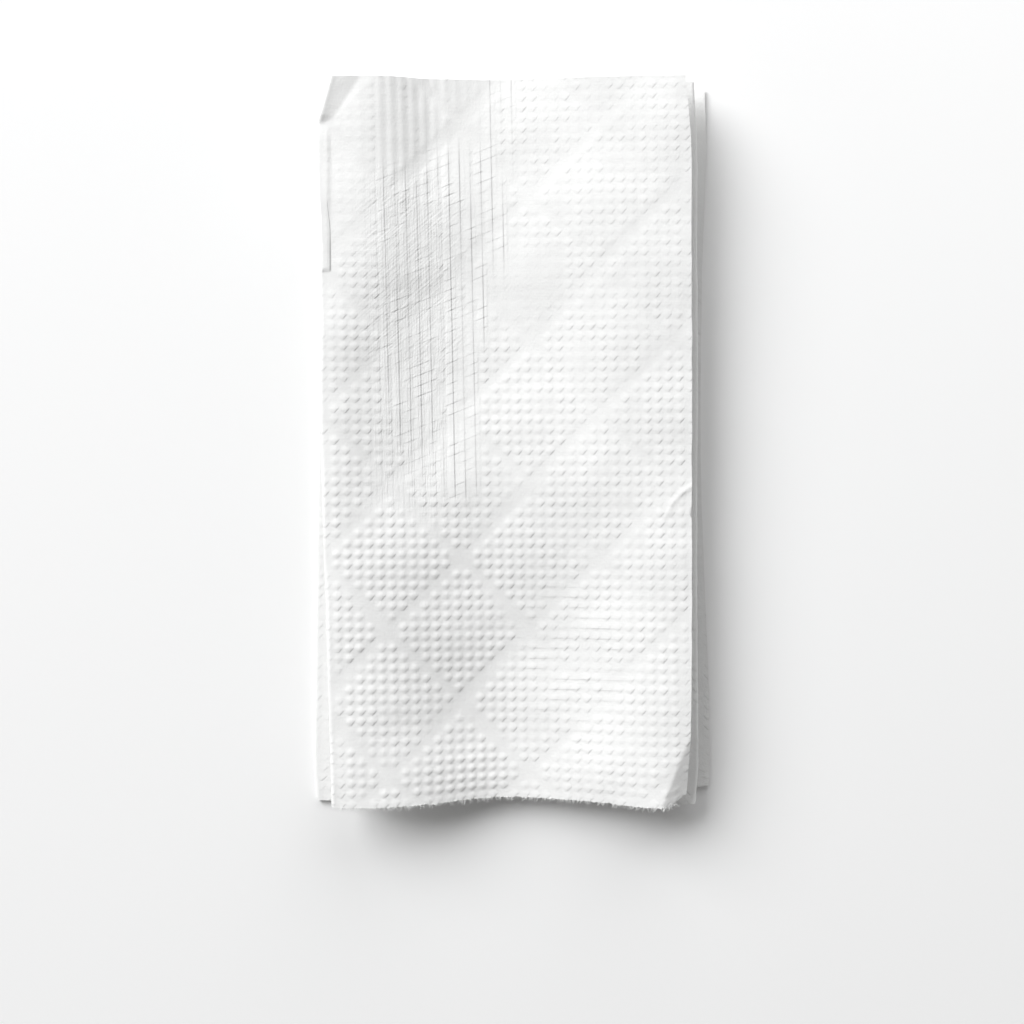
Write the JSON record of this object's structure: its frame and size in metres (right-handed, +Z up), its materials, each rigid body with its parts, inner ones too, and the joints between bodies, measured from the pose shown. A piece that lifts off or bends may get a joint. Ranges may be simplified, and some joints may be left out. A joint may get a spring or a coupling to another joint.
{
  "type": "interfolded paper towel",
  "caption": "White embossed paper towel, one sheet folded zigzag into stacked panels, lying flat, for drying hands and wiping.",
  "frame": {"origin": "centre of the folded towel's footprint, on the surface it lies on", "axes": "+Z up out of the top panel, +Y along the folds, +X towards the top panel's free edge"},
  "size_m": [0.1172, 0.2109, 0.0188],
  "materials": {
    "towel_paper": "matte, embossed with dots in diamonds"
  },
  "bodies": {
    "root": {"folded_towel": "towel_paper"}
  },
  "joints": []
}
